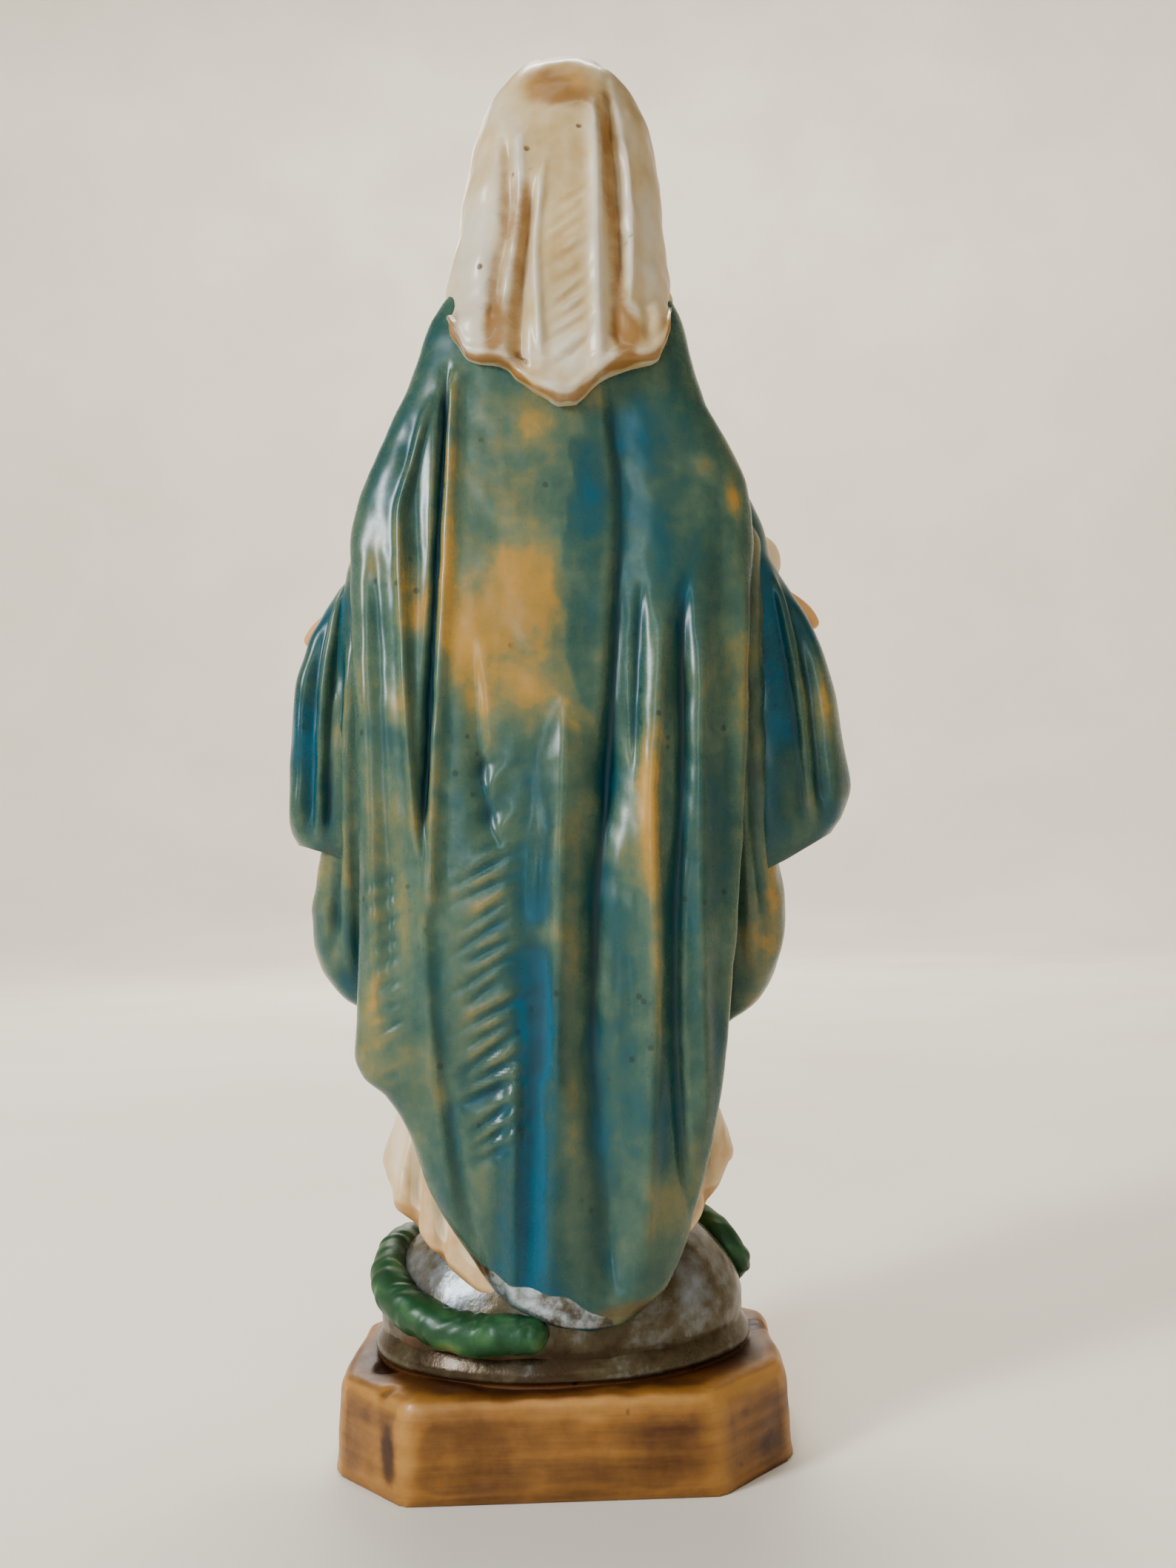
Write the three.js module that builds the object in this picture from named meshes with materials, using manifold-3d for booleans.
// A small moulded-plastic statue of a veiled, mantled woman with lowered, open
// hands, standing on a globe and a serpent, on a base with cut corners.
// Millimetres, +Z up, front towards -Y, origin at the centre of the base's underside.
import * as THREE from "three";
import { mergeVertices } from "three/addons/utils/BufferGeometryUtils.js";
import Module from "manifold-3d";

const wasm = await Module();
wasm.setup();

// ---------------------------------------------------------------- sizes

const GLUE_GAP = 0.3; // room for cement between two pieces
const FACET_TOLERANCE = 0.06; // how far a facet may stand off the shape it stands for

const BASE_WIDTH = 37.4;
const BASE_DEPTH = 26.8;
const BASE_HEIGHT = 7.8;
const BASE_CORNER_CUT = 6.5; // how far each corner is cut back along both sides
const BASE_DRAFT = 0.4; // how much each side leans in towards the top
const BASE_EDGE = 0.7; // rounding of the top edge

const PLINTH_HEIGHT = 1.5;
const PLINTH_RIM = 0.6; // how far the plinth stands out past the globe
const PLINTH_EDGE = 0.5; // rounding of its upper edge

const GLOBE_HALF_WIDTH = 15.6;
const GLOBE_HALF_DEPTH = 11.0;
const GLOBE_RISE = 9.6; // from its widest level to its crown
const GLOBE_WAIST_ABOVE_PLINTH = 1.7; // height of its widest level

const SERPENT_RADIUS = 1.45;
const SERPENT_HEAD_LENGTH = 4.6;

const FIGURE_HEIGHT = 107.6; // from the feet to the crown of the veil
const HEM_HALF_WIDTH = 14.9;
const HEM_HALF_DEPTH = 10.4;
const WAIST_HALF_WIDTH = 8.8;
const WAIST_HALF_DEPTH = 6.4;
const CHEST_HALF_WIDTH = 10.2;
const CHEST_HALF_DEPTH = 7.0;
const MANTLE_HALF_WIDTH = 16.9; // the back panel, below the arms
const MANTLE_BACK = 10.8; // how far the back panel stands behind the parting plane
const DRAPE_HALF_SPAN = 25.0; // outer edge of the cloth hanging from each forearm
const DRAPE_FRONT = 8.4; // how far that cloth stands in front of the parting plane
const DRAPE_BACK = 4.8;
const FALL_HALF_SPAN = 21.6; // outer edge of the lower front falls
const FALL_FRONT = 9.0;
const HEAD_HALF_WIDTH = 5.6;
const HEAD_HALF_DEPTH = 6.6;
const HEAD_HEIGHT = 16.6;
const HAIR_THICKNESS = 1.1;
const VEIL_THICKNESS = 1.9;
const HAND_LENGTH = 11.4;
const FOOT_LENGTH = 7.2;
const FOOT_SPREAD = 3.4; // each foot's distance from the centre line
const LEAN = -0.03; // sideways lean of the figure, per millimetre of height

// ---------------------------------------------------------------- levels

const PLINTH_TOP = BASE_HEIGHT + PLINTH_HEIGHT;
const GLOBE_WAIST = PLINTH_TOP + GLOBE_WAIST_ABOVE_PLINTH;
const GLOBE_TOP = GLOBE_WAIST + GLOBE_RISE;
const SOLE = GLOBE_TOP - 4.0; // the feet stand on the globe's shoulder
const CROWN = SOLE + FIGURE_HEIGHT;
// A level at a share of the figure's height, measured from the soles.
const level = (share) => SOLE + share * FIGURE_HEIGHT;
const HEM_SIDE = level(0.014); // the robe's lower edge falls from the front to the back
const HEM_FRONT = level(0.042);
const HEM_BACK = level(-0.037);
const WAIST = level(0.567);
const SHOULDER = level(0.75);
const NECK = level(0.785);
const CHIN = level(0.822);
const DRAPE_END = level(0.335);
const FALL_END = level(0.18);
const VEIL_END = level(0.667);
const MANTLE_END = PLINTH_TOP + 2.8;

// ---------------------------------------------------------------- making solids

function solid(geometry) {
  const bare = geometry.index ? geometry.toNonIndexed() : geometry.clone();
  for (const name of Object.keys(bare.attributes))
    if (name !== "position") bare.deleteAttribute(name);
  const merged = mergeVertices(bare, 1e-4);
  return new wasm.Manifold(
    new wasm.Mesh({
      numProp: 3,
      vertProperties: merged.attributes.position.array,
      triVerts: new Uint32Array(merged.index.array),
    }),
  );
}

function geometryOf(made) {
  const mesh = made.getMesh();
  const geometry = new THREE.BufferGeometry();
  geometry.setAttribute(
    "position",
    new THREE.BufferAttribute(new Float32Array(mesh.vertProperties), 3),
  );
  geometry.setIndex(new THREE.BufferAttribute(new Uint32Array(mesh.triVerts), 1));
  const faceted = geometry.toNonIndexed();
  faceted.computeVertexNormals();
  return faceted;
}

// A piece with room cut in it for its neighbours, less any slivers that this leaves.
function fitted(made, ...rooms) {
  const cut = rooms.reduce((rest, room) => rest.subtract(room), made);
  const largest = cut.decompose().reduce((a, b) => (b.volume() > a.volume() ? b : a));
  return largest.simplify(FACET_TOLERANCE);
}

// A smooth value through (place, value) pairs that never overshoots them.
function smooth(pairs, at) {
  const last = pairs.length - 1;
  if (at <= pairs[0][0]) return pairs[0][1];
  if (at >= pairs[last][0]) return pairs[last][1];
  const slope = (i) => (pairs[i + 1][1] - pairs[i][1]) / (pairs[i + 1][0] - pairs[i][0]);
  const tangent = (i) => {
    if (i === 0) return slope(0);
    if (i === last) return slope(last - 1);
    const [before, after] = [slope(i - 1), slope(i)];
    return before * after <= 0 ? 0 : (2 * before * after) / (before + after);
  };
  const i = pairs.findIndex((p, k) => k < last && at <= pairs[k + 1][0]);
  const span = pairs[i + 1][0] - pairs[i][0];
  const t = (at - pairs[i][0]) / span;
  const [t2, t3] = [t * t, t * t * t];
  return (
    (2 * t3 - 3 * t2 + 1) * pairs[i][1] +
    (t3 - 2 * t2 + t) * span * tangent(i) +
    (3 * t2 - 2 * t3) * pairs[i + 1][1] +
    (t3 - t2) * span * tangent(i + 1)
  );
}

const leanAt = (z) => LEAN * Math.max(0, z - BASE_HEIGHT);

// An upright form whose outline at each level is a rounded oblong. Each station is
// { z, x: [low, high], y: [low, high] }; the form is smooth between stations.
function column(stations, { grow = 0, sides = 32, levels = 12, square = 2.2, leans = true } = {}) {
  const first = stations[0].z - grow;
  const last = stations[stations.length - 1].z + grow;
  const track = (axis, end) => stations.map((s) => [s.z, s[axis][end]]);
  const tracks = { x: [track("x", 0), track("x", 1)], y: [track("y", 0), track("y", 1)] };
  const geometry = new THREE.CylinderGeometry(1, 1, 1, sides, levels);
  geometry.rotateX(Math.PI / 2);
  const position = geometry.attributes.position;
  for (let i = 0; i < position.count; i++) {
    const [px, py] = [position.getX(i), position.getY(i)];
    const z = first + (position.getZ(i) + 0.5) * (last - first);
    const radius = Math.hypot(px, py);
    const place = (axis, part) => {
      const low = smooth(tracks[axis][0], z) - grow;
      const high = smooth(tracks[axis][1], z) + grow;
      const along = Math.sign(part) * Math.abs(part) ** (2 / square);
      return (low + high) / 2 + (along * (high - low)) / 2;
    };
    const x = radius > 0 ? place("x", px) : place("x", 0);
    const y = radius > 0 ? place("y", py) : place("y", 0);
    position.setXYZ(i, x + (leans ? leanAt(z) : 0), y, z);
  }
  return solid(geometry);
}

// A round bar along a curve, with its radius a function of the way along.
function bar(points, radiusAt, { grow = 0, sides = 10, steps = 24, leans = true } = {}) {
  const curve = new THREE.CatmullRomCurve3(points.map((p) => new THREE.Vector3(...p)));
  const frames = curve.computeFrenetFrames(steps);
  const geometry = new THREE.CylinderGeometry(1, 1, 1, sides, steps);
  const position = geometry.attributes.position;
  for (let i = 0; i < position.count; i++) {
    const step = Math.round((0.5 - position.getY(i)) * steps);
    const way = step / steps;
    const radius = radiusAt(way) + grow;
    const end = (way === 0 ? -grow : 0) + (way === 1 ? grow : 0);
    const at = curve.getPointAt(way);
    at.addScaledVector(frames.tangents[step], end);
    at.addScaledVector(frames.normals[step], radius * position.getX(i));
    at.addScaledVector(frames.binormals[step], radius * position.getZ(i));
    position.setXYZ(i, at.x + (leans ? leanAt(at.z) : 0), at.y, at.z);
  }
  const made = solid(geometry);
  if (made.volume() > 0) return made;
  geometry.index.array.reverse();
  return solid(geometry);
}

function ellipsoid(centre, half, { grow = 0, around = 20, down = 14, leans = true } = {}) {
  const geometry = new THREE.SphereGeometry(1, around, down);
  geometry.rotateX(Math.PI / 2);
  geometry.scale(half[0] + grow, half[1] + grow, half[2] + grow);
  geometry.translate(centre[0] + (leans ? leanAt(centre[2]) : 0), centre[1], centre[2]);
  return solid(geometry);
}

// A slab cut to an outline of (x, z) points seen from behind, from y = near to y = far.
function silhouette(points, near, far) {
  const shape = new THREE.Shape(points.map(([x, z]) => new THREE.Vector2(x + leanAt(z), z)));
  const geometry = new THREE.ExtrudeGeometry(shape, { depth: far - near, bevelEnabled: false });
  geometry.rotateX(Math.PI / 2);
  geometry.translate(0, far, 0);
  return solid(geometry);
}

// A slab cut to an outline of (y, z) points seen from the side, right across the figure.
function sideSilhouette(points) {
  const across = BASE_WIDTH * 2;
  const shape = new THREE.Shape(points.map(([y, z]) => new THREE.Vector2(y, z)));
  const geometry = new THREE.ExtrudeGeometry(shape, { depth: across, bevelEnabled: false });
  geometry.rotateY(Math.PI / 2);
  geometry.rotateX(Math.PI / 2);
  geometry.translate(-across / 2, 0, 0);
  return solid(geometry);
}

// ---------------------------------------------------------------- base, plinth and globe

function baseBlock() {
  const ring = (inset) => {
    const [w, d] = [BASE_WIDTH / 2 - inset, BASE_DEPTH / 2 - inset];
    const cut = BASE_CORNER_CUT - inset * (2 - Math.SQRT2);
    return [
      [w - cut, -d],
      [w, -d + cut],
      [w, d - cut],
      [w - cut, d],
      [-w + cut, d],
      [-w, d - cut],
      [-w, -d + cut],
      [-w + cut, -d],
    ];
  };
  const stages = [[0, 0], [BASE_HEIGHT - BASE_EDGE, BASE_DRAFT]];
  for (const turn of [0.25, 0.5, 0.75, 1]) {
    const angle = (turn * Math.PI) / 2;
    stages.push([
      BASE_HEIGHT - BASE_EDGE * (1 - Math.sin(angle)),
      BASE_DRAFT + BASE_EDGE * (1 - Math.cos(angle)),
    ]);
  }
  const corners = ring(0).length;
  const geometry = new THREE.CylinderGeometry(1, 1, 1, corners, stages.length - 1);
  const position = geometry.attributes.position;
  for (let i = 0; i < position.count; i++) {
    const stage = Math.round((position.getY(i) + 0.5) * (stages.length - 1));
    const [z, inset] = stages[stage];
    const radius = Math.hypot(position.getX(i), position.getZ(i));
    const turn = Math.atan2(position.getX(i), position.getZ(i)) / (2 * Math.PI);
    const corner = ring(inset)[Math.round(turn * corners + corners) % corners];
    position.setXYZ(i, radius > 0 ? corner[0] : 0, radius > 0 ? corner[1] : 0, z);
  }
  const made = solid(geometry);
  if (made.volume() > 0) return made;
  geometry.index.array.reverse();
  return solid(geometry);
}

function ovalDisc(grow = 0) {
  const [w, d] = [GLOBE_HALF_WIDTH + PLINTH_RIM, GLOBE_HALF_DEPTH + PLINTH_RIM];
  const ring = (z, inset) => ({ z, x: [inset - w, w - inset], y: [inset - d, d - inset] });
  return column(
    [ring(BASE_HEIGHT, 0), ring(PLINTH_TOP - PLINTH_EDGE, 0), ring(PLINTH_TOP, PLINTH_EDGE)],
    { grow, sides: 40, levels: 3, square: 2, leans: false },
  );
}

// How wide the globe is at a level, as a share of its widest.
const globeShare = (z) => Math.sqrt(Math.max(0, 1 - ((z - GLOBE_WAIST) / GLOBE_RISE) ** 2));

function globeForm(grow = 0) {
  const whole = ellipsoid(
    [0, 0, GLOBE_WAIST],
    [GLOBE_HALF_WIDTH, GLOBE_HALF_DEPTH, GLOBE_RISE],
    { grow, around: 32, down: 20, leans: false },
  );
  return whole.trimByPlane([0, 0, 1], PLINTH_TOP - grow);
}

// The serpent lies against the globe: from its tail under the mantle's end, round the
// left side and low across the front, then turns on the right side and comes back
// higher, with its head in front of the feet.
function serpentPath() {
  const on = (degrees, rise) => {
    const z = GLOBE_WAIST + rise;
    const turn = (degrees * Math.PI) / 180;
    const out = SERPENT_RADIUS * 0.6;
    return [
      Math.sin(turn) * (GLOBE_HALF_WIDTH * globeShare(z) + out),
      Math.cos(turn) * (GLOBE_HALF_DEPTH * globeShare(z) + out),
      z,
    ];
  };
  return [
    on(3, 0.9),
    on(28, 0.8),
    on(50, 1.9),
    on(70, 3.4),
    on(90, 4.6),
    on(112, 4.6),
    on(140, 3.2),
    on(168, 1.6),
    on(195, 0.7),
    on(226, 0.7),
    on(248, 1.0),
    on(260, 2.8),
    on(250, 4.9),
    on(232, 5.4),
    on(216, 5.0),
  ];
}

const serpentRadius = (way) =>
  SERPENT_RADIUS * smooth([[0, 0.55], [0.14, 1], [0.75, 1], [1, 0.72]], way);

function serpentForm(grow = 0) {
  const path = serpentPath();
  const body = bar(path, serpentRadius, { grow, sides: 7, steps: 64, leans: false });
  const tip = path[path.length - 1];
  const half = SERPENT_HEAD_LENGTH / 2;
  const head = ellipsoid(
    [tip[0] + half * 0.45, tip[1] - SERPENT_RADIUS / 3, tip[2]],
    [half, SERPENT_RADIUS * 1.1, SERPENT_RADIUS * 0.95],
    { grow, around: 12, down: 8, leans: false },
  );
  return body.add(head);
}

// ---------------------------------------------------------------- robe, sash and body

const both = (half) => [-half, half];

// Share of the robe's and bodice's front depth that they have at the back, where the
// mantle covers them.
const ROBE_BACK = 0.84;

function skirtForm(grow = 0) {
  const station = (z, width, depth) => ({ z, x: both(width), y: [-depth, depth * ROBE_BACK] });
  const body = column(
    [
      station(HEM_BACK, HEM_HALF_WIDTH * 0.8, HEM_HALF_DEPTH * 1.1),
      station(HEM_SIDE + 2.4, HEM_HALF_WIDTH, HEM_HALF_DEPTH * 1.04),
      station(HEM_SIDE + 7.5, HEM_HALF_WIDTH * 0.86, HEM_HALF_DEPTH * 0.93),
      station(level(0.2), HEM_HALF_WIDTH * 0.78, HEM_HALF_DEPTH * 0.86),
      station(level(0.4), HEM_HALF_WIDTH * 0.7, HEM_HALF_DEPTH * 0.8),
      station(WAIST - GLUE_GAP, WAIST_HALF_WIDTH, WAIST_HALF_DEPTH),
    ],
    { grow, levels: 12, sides: 28 },
  );
  const out = BASE_DEPTH;
  return body.intersect(
    sideSilhouette([
      [-out, HEM_FRONT - grow],
      [0, HEM_SIDE - grow],
      [HEM_HALF_DEPTH * 1.1, HEM_BACK - grow],
      [out, HEM_BACK - grow],
      [out, CROWN],
      [-out, CROWN],
    ]),
  );
}

function bodiceForm(grow = 0) {
  const station = (z, width, depth) => ({ z, x: both(width), y: [-depth, depth * ROBE_BACK] });
  return column(
    [
      station(WAIST, WAIST_HALF_WIDTH, WAIST_HALF_DEPTH),
      station(level(0.66), CHEST_HALF_WIDTH, CHEST_HALF_DEPTH),
      station(SHOULDER - 4, CHEST_HALF_WIDTH * 0.93, CHEST_HALF_DEPTH * 0.9),
      station(SHOULDER, CHEST_HALF_WIDTH * 0.7, CHEST_HALF_DEPTH * 0.7),
      station(NECK - GLUE_GAP, HEAD_HALF_WIDTH * 0.72, HEAD_HALF_WIDTH * 0.66),
    ],
    { grow, levels: 8, sides: 24 },
  );
}

// The sash: a band round the waist with two ends hanging in front.
const SASH_HEIGHT = 3.4;
const SASH_THICKNESS = 0.9;
const SASH_END_LENGTH = 17;
const SASH_END_WIDTH = 2.8;

function sashForm(grow = 0) {
  const out = SASH_THICKNESS;
  const band = column(
    [
      {
        z: WAIST - SASH_HEIGHT / 2,
        x: both(WAIST_HALF_WIDTH + out),
        y: [-WAIST_HALF_DEPTH - out - 0.2, 0],
      },
      {
        z: WAIST + SASH_HEIGHT / 2,
        x: both(WAIST_HALF_WIDTH + out),
        y: [-WAIST_HALF_DEPTH - out - 0.2, 0],
      },
    ],
    { grow, levels: 2 },
  );
  const low = WAIST - SASH_HEIGHT / 2 - SASH_END_LENGTH;
  const front = -HEM_HALF_DEPTH * 0.8 - out;
  const end = (side) =>
    column(
      [
        { z: low, x: both(SASH_END_WIDTH / 2).map((x) => x + side * 2.1), y: [front - 0.3, -3] },
        { z: WAIST, x: both(SASH_END_WIDTH / 3).map((x) => x + side * 1.1), y: [front + 0.9, -3] },
      ],
      { grow, sides: 12, levels: 4, square: 4 },
    );
  return band.add(end(-1)).add(end(1));
}

// ---------------------------------------------------------------- mantle and veil

// The blue mantle's back, cut to its hanging outline with a long rounded tail.
function mantleBackForm(grow = 0) {
  const w = MANTLE_HALF_WIDTH;
  const inner = 2.5; // reaches this far in front of the parting plane before it is cut
  const station = (z, right, left, back) => ({
    z,
    x: [-w * right, w * left],
    y: [-inner, MANTLE_BACK * back],
  });
  return column(
    [
      station(MANTLE_END - 1, 0.8, 0.9, 1.12),
      station(level(0.02), 0.82, 0.93, 1.05),
      station(level(0.09), 0.82, 0.97, 1.01),
      station(level(0.31), 0.89, 0.97, 1),
      station(level(0.54), 0.99, 1, 0.98),
      station(level(0.6), 0.98, 0.99, 0.94),
      station(level(0.65), 0.9, 0.91, 0.88),
      station(level(0.7), 0.76, 0.77, 0.82),
      station(level(0.75), 0.64, 0.66, 0.74),
      station(level(0.78), 0.5, 0.52, 0.6),
    ],
    { grow, levels: 16, sides: 32, square: 2.7 },
  );
}

function mantleOutline() {
  const w = MANTLE_HALF_WIDTH;
  const high = CROWN;
  const out = w + 2;
  return silhouette(
    [
      [-out, high],
      [-out, level(0.17)],
      [-w * 0.83, level(0.15)],
      [-w * 0.76, level(0.08)],
      [-w * 0.64, level(0.02)],
      [-w * 0.46, level(-0.02)],
      [-w * 0.24, level(-0.04)],
      [-w * 0.04, MANTLE_END],
      [w * 0.16, level(-0.034)],
      [w * 0.36, level(-0.008)],
      [w * 0.58, level(0.03)],
      [w * 0.69, level(0.08)],
      [w * 0.78, level(0.122)],
      [w * 0.9, level(0.132)],
      [w * 0.98, level(0.152)],
      [out, level(0.17)],
      [out, high],
    ],
    0,
    MANTLE_BACK * 2,
  );
}

// Half the figure is described by inner and outer shares of a half span, and the other
// half mirrors it. Side is 1 for the figure's left and -1 for its right.
function sideStation(side, span, [z, inner, outer, front, back]) {
  const x = side > 0 ? [span * inner, span * outer] : [-span * outer, -span * inner];
  return { z, x, y: [-front, back] };
}

// The cloth that covers one shoulder and hangs from the forearm.
function drapeForm(side, grow = 0) {
  const [f, b] = [DRAPE_FRONT, DRAPE_BACK];
  const rows = [
    [DRAPE_END, 0.6, 1, f * 0.94, b * 0.84],
    [level(0.38), 0.6, 0.99, f, b * 0.95],
    [level(0.45), 0.56, 0.97, f, b],
    [level(0.5), 0.5, 0.9, f, b],
    [level(0.56), 0.42, 0.77, f * 0.94, b],
    [level(0.62), 0.32, 0.67, f * 0.86, b * 0.94],
    [level(0.67), 0.24, 0.57, f * 0.78, b * 0.75],
    [level(0.72), 0.19, 0.49, f * 0.67, b * 0.5],
    [level(0.77), 0.16, 0.38, f * 0.5, b * 0.25],
    [level(0.785), 0.15, 0.3, f * 0.4, b * 0.15],
  ];
  const stations = rows.map((row) => sideStation(side, DRAPE_HALF_SPAN, row));
  return column(stations, { grow, levels: 14, sides: 20, square: 2.7 });
}

// The lower end of the mantle that falls in front, inside each drape.
function fallForm(side, grow = 0) {
  const f = FALL_FRONT;
  const rows = [
    [FALL_END, 0.7, 0.86, f * 0.75, 2],
    [level(0.21), 0.6, 0.96, f * 0.93, 1],
    [level(0.26), 0.57, 1, f, 0.6],
    [level(0.33), 0.53, 0.97, f, 0.4],
    [level(0.44), 0.48, 0.8, f * 0.9, 0.4],
  ];
  const stations = rows.map((row) => sideStation(side, FALL_HALF_SPAN, row));
  return column(stations, { grow, levels: 8, sides: 16, square: 2.6 });
}

const HEAD_CENTRE = [0, -1.4, CHIN + HEAD_HEIGHT / 2];

function headForm(grow = 0) {
  const skull = ellipsoid(
    HEAD_CENTRE,
    [HEAD_HALF_WIDTH, HEAD_HALF_DEPTH, HEAD_HEIGHT / 2],
    { grow, around: 20, down: 14 },
  );
  const neckHalf = HEAD_HALF_WIDTH * 0.56;
  const neck = column(
    [
      { z: NECK, x: both(neckHalf * 1.15), y: [-neckHalf * 1.1, neckHalf * 1.1] },
      { z: CHIN + HEAD_HEIGHT * 0.3, x: both(neckHalf), y: [-neckHalf, neckHalf] },
    ],
    { grow, sides: 16, levels: 3, square: 2 },
  );
  return skull.add(neck);
}

// Hair under the veil, open at the face.
function hairForm(grow = 0) {
  const t = HAIR_THICKNESS;
  return ellipsoid(
    [HEAD_CENTRE[0], HEAD_CENTRE[1] + 0.5, HEAD_CENTRE[2] + 0.3],
    [HEAD_HALF_WIDTH + t, HEAD_HALF_DEPTH + t, HEAD_HEIGHT / 2 + t],
    { grow, around: 20, down: 14 },
  );
}

function faceWindow(widen, y) {
  const half = HEAD_HALF_WIDTH * 0.86 + widen;
  const low = CHIN - 8;
  const high = HEAD_CENTRE[2] + HEAD_HEIGHT * 0.27 + widen;
  const points = [];
  for (let i = 0; i <= 10; i++) {
    const angle = (i / 10) * Math.PI;
    points.push([half * Math.cos(angle), high - half + half * Math.sin(angle) * 1.0]);
  }
  points.push([-half * 0.9, low]);
  points.push([half * 0.9, low]);
  return silhouette(points, -30, y);
}

function veilForm(grow = 0) {
  const t = VEIL_THICKNESS;
  const head = HEAD_CENTRE[2];
  const side = HEAD_HALF_WIDTH + t;
  const back = MANTLE_BACK;
  const station = (z, width, front, rear) => ({ z, x: both(width), y: [-front, rear] });
  return column(
    [
      station(VEIL_END, side + 3.4, 4, back * 0.99),
      station(SHOULDER, side + 2.9, 4.6, back * 0.92),
      station(CHIN + 1, side + 2, 5.4, back * 0.82),
      station(head, side + 1.3, 6.6, back * 0.77),
      station(head + 4.4, side + 0.2, 6.9, back * 0.7),
      station(CROWN - 2.4, side * 0.66, 5.4, back * 0.48),
      station(CROWN - 0.7, side * 0.4, 3.4, back * 0.28),
      station(CROWN, side * 0.16, 1.4, back * 0.1),
    ],
    { grow, levels: 20, sides: 28, square: 2.15 },
  );
}

// The veil's lower edge, pointed at the middle of the back.
function veilOutline() {
  const out = MANTLE_HALF_WIDTH;
  const half = [
    [0.58, 0.76],
    [0.55, 0.735],
    [0.39, 0.706],
    [0.23, 0.687],
  ];
  const points = half.map(([x, share]) => [x * out, level(share)]);
  const mirrored = points.map(([x, z]) => [-x, z]).reverse();
  const high = CROWN * 2;
  return silhouette(
    [[out, high], [out, level(0.79)], ...points, [0, VEIL_END], ...mirrored,
      [-out, level(0.79)], [-out, high]],
    -BASE_DEPTH,
    BASE_DEPTH,
  );
}

// ---------------------------------------------------------------- arms, hands and feet

const elbow = (side) => [side * 12.4, -3.2, level(0.6)];
const wrist = (side) => [side * 20.2, -9.0, level(0.55)];

function sleeveForm(side, grow = 0) {
  const [from, to] = [elbow(side), wrist(side)];
  const middle = from.map((v, i) => (v + to[i]) / 2);
  middle[2] += 0.4;
  return bar([from, middle, to], (way) => 3.1 + 0.7 * way, { grow, sides: 14, steps: 4 });
}

function handForm(side, grow = 0) {
  const [x, y, z] = wrist(side);
  const reach = HAND_LENGTH;
  const at = (out, front, down) => [x + side * out * reach, y - front * reach, z - down * reach];
  const palm = bar(
    [at(-0.16, -0.13, -0.12), at(0.06, 0.06, 0.18), at(0.2, 0.13, 0.52)],
    (way) => 1.35 + 0.55 * Math.sin(Math.PI * way),
    { grow, sides: 10, steps: 4 },
  );
  let hand = palm;
  for (let i = 0; i < 4; i++) {
    const spread = (i - 1.5) * 0.095;
    const finger = bar(
      [
        at(0.16 + spread, 0.12, 0.4),
        at(0.24 + spread * 1.5, 0.16, 0.66),
        at(0.29 + spread * 1.9, 0.14, 0.9 - 0.05 * Math.abs(i - 1.2)),
      ],
      (way) => 0.72 - 0.16 * way,
      { grow, sides: 6, steps: 3 },
    );
    hand = hand.add(finger);
  }
  const thumb = bar(
    [at(0.0, 0.1, 0.1), at(-0.12, 0.2, 0.28), at(-0.13, 0.22, 0.48)],
    (way) => 0.85 - 0.2 * way,
    { grow, sides: 6, steps: 3 },
  );
  return hand.add(thumb);
}

function footForm(side, grow = 0) {
  const toe = -HEM_HALF_DEPTH - 1.0;
  const half = FOOT_LENGTH / 2;
  return ellipsoid([side * FOOT_SPREAD, toe + half, SOLE + 1.1], [1.9, half, 1.6], {
    grow,
    around: 12,
    down: 8,
  });
}

// ---------------------------------------------------------------- fitting the pieces together

const bothSides = (form) => form(-1, GLUE_GAP).add(form(1, GLUE_GAP));
const room = {
  serpent: serpentForm(GLUE_GAP),
  globe: globeForm(GLUE_GAP),
  feet: bothSides(footForm),
  skirt: skirtForm(GLUE_GAP),
  bodice: bodiceForm(GLUE_GAP),
  sash: sashForm(GLUE_GAP),
  head: headForm(GLUE_GAP),
  hair: hairForm(GLUE_GAP),
  sleeves: bothSides(sleeveForm),
  hands: bothSides(handForm),
  mantleBack: mantleBackForm(GLUE_GAP).trimByPlane([0, 1, 0], -GLUE_GAP),
  drapes: bothSides(drapeForm),
};
const above = (made, z) => made.trimByPlane([0, 0, 1], z);

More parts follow.
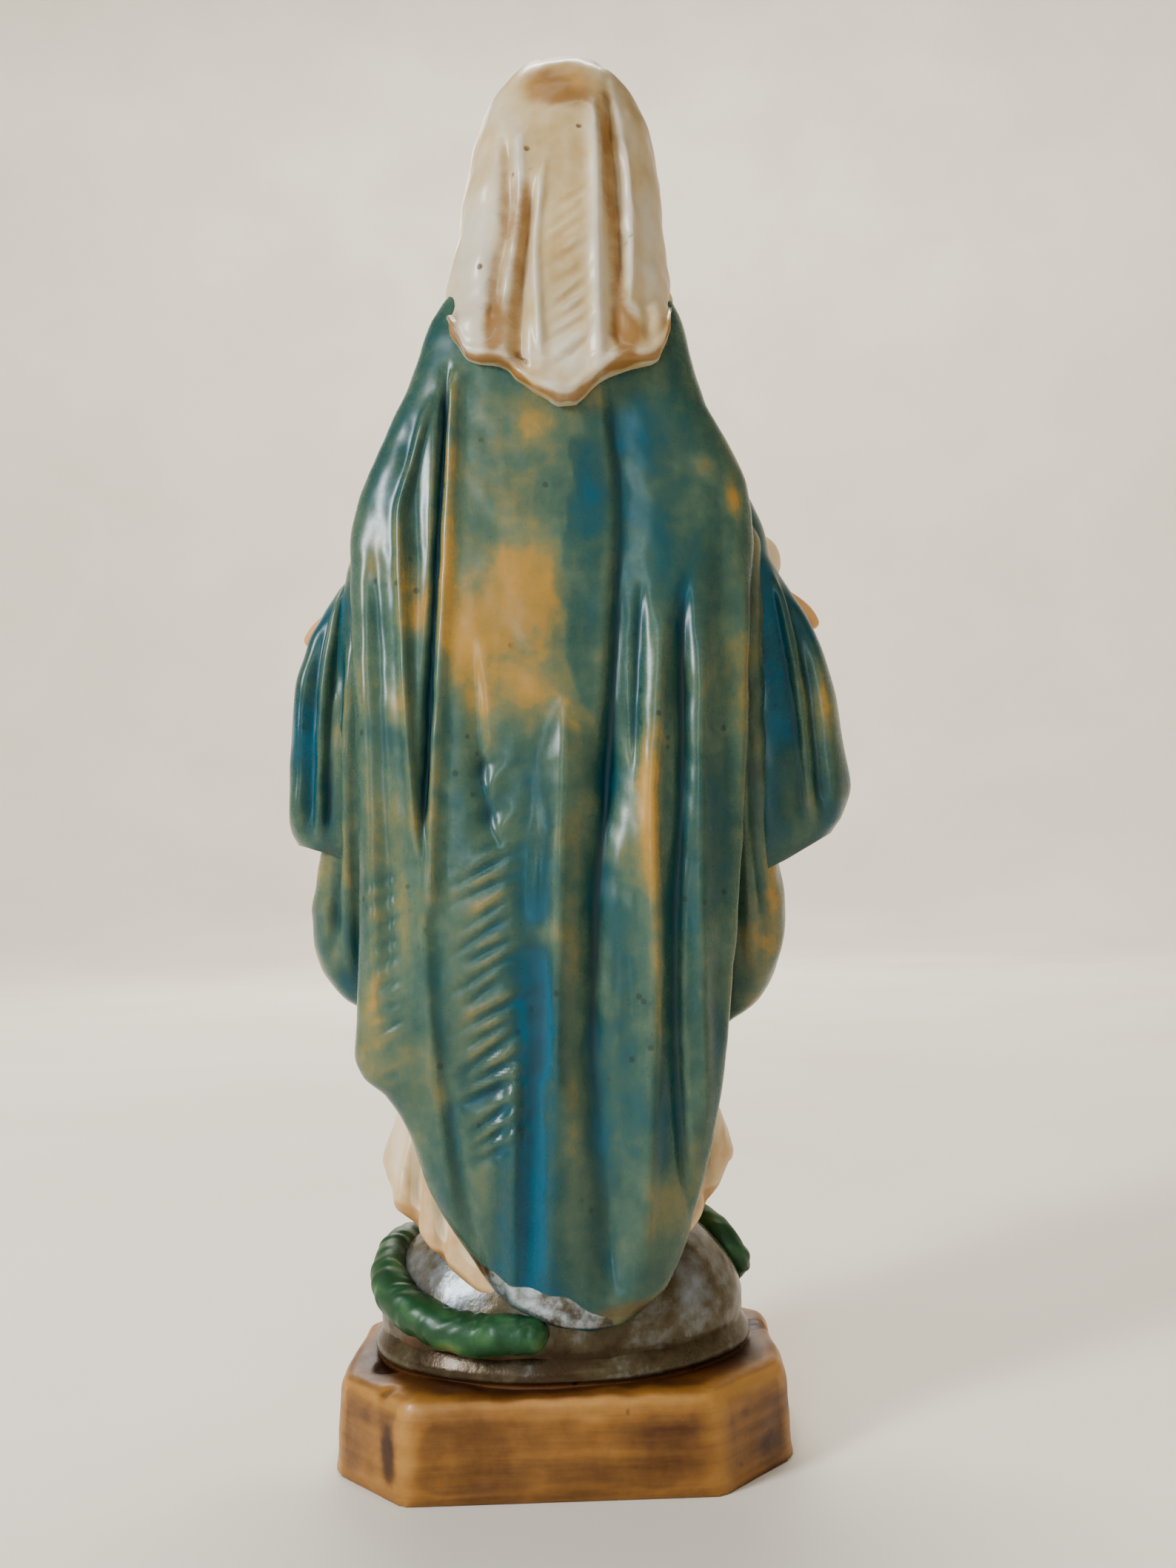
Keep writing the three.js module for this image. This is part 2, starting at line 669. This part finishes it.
const pieces = new Map([
  ["base_block", baseBlock()],
  ["plinth_disc", ovalDisc()],
  ["serpent", fitted(above(serpentForm(), PLINTH_TOP + GLUE_GAP))],
  ["globe", fitted(globeForm(), room.serpent)],
  ["robe_skirt", fitted(skirtForm(), room.globe, room.feet, room.serpent)],
  ["robe_bodice", fitted(bodiceForm())],
  ["sash", fitted(sashForm(), room.skirt, room.bodice)],
  ["head", fitted(headForm(), room.bodice)],
  [
    "hair",
    fitted(
      above(hairForm(), CHIN + 2.5),
      room.head,
      room.bodice,
      faceWindow(-0.6, HEAD_CENTRE[1] + 1.5),
    ),
  ],
  [
    "mantle_back",
    fitted(
      mantleBackForm().intersect(mantleOutline()),
      room.skirt,
      room.bodice,
      room.head,
      room.globe,
      room.sleeves,
      room.serpent,
    ),
  ],
  [
    "veil",
    fitted(
      veilForm().intersect(veilOutline()),
      room.hair,
      room.head,
      room.bodice,
      room.mantleBack,
      room.drapes,
      faceWindow(0.5, HEAD_CENTRE[1] + 1),
    ),
  ],
]);

for (const [name, side] of [["left", 1], ["right", -1]]) {
  pieces.set("hand_" + name, fitted(handForm(side)));
  pieces.set("sleeve_" + name, fitted(sleeveForm(side), room.bodice, room.hands));
  pieces.set("foot_" + name, fitted(footForm(side), room.globe, room.serpent));
  const body = [room.mantleBack, room.skirt, room.bodice, room.head, room.sash];
  const arm = [room.sleeves, room.hands];
  pieces.set("mantle_drape_" + name, fitted(drapeForm(side), ...body, ...arm));
  pieces.set("mantle_fall_" + name, fitted(fallForm(side), room.drapes, ...body, ...arm));
}

// ---------------------------------------------------------------- finishes

const FINISHES = {
  base_brown: { color: 0x9c5f2a, roughness: 0.45 },
  globe_silver: { color: 0x8f8d86, roughness: 0.4, metalness: 0.35 },
  serpent_green: { color: 0x2f6a2a, roughness: 0.4 },
  robe_cream: { color: 0xe6cfae, roughness: 0.5 },
  mantle_blue: { color: 0x2c6f7c, roughness: 0.3 },
  veil_pearl: { color: 0xd8cdbd, roughness: 0.3 },
  flesh: { color: 0xd69a5c, roughness: 0.4 },
  hair_brown: { color: 0x5b3a22, roughness: 0.5 },
  sash_blue: { color: 0x2f7fa0, roughness: 0.35 },
};

function finishOf(name) {
  if (name.startsWith("base")) return "base_brown";
  if (name.startsWith("plinth") || name.startsWith("globe")) return "globe_silver";
  if (name.startsWith("serpent")) return "serpent_green";
  if (name.startsWith("robe") || name.startsWith("sleeve")) return "robe_cream";
  if (name.startsWith("mantle")) return "mantle_blue";
  if (name.startsWith("veil")) return "veil_pearl";
  if (name.startsWith("hair")) return "hair_brown";
  if (name.startsWith("sash")) return "sash_blue";
  return "flesh";
}

const statue = new THREE.Group();
for (const [name, made] of pieces) {
  const material = new THREE.MeshStandardMaterial(FINISHES[finishOf(name)]);
  const mesh = new THREE.Mesh(geometryOf(made), material);
  mesh.name = name;
  statue.add(mesh);
}

export default statue;
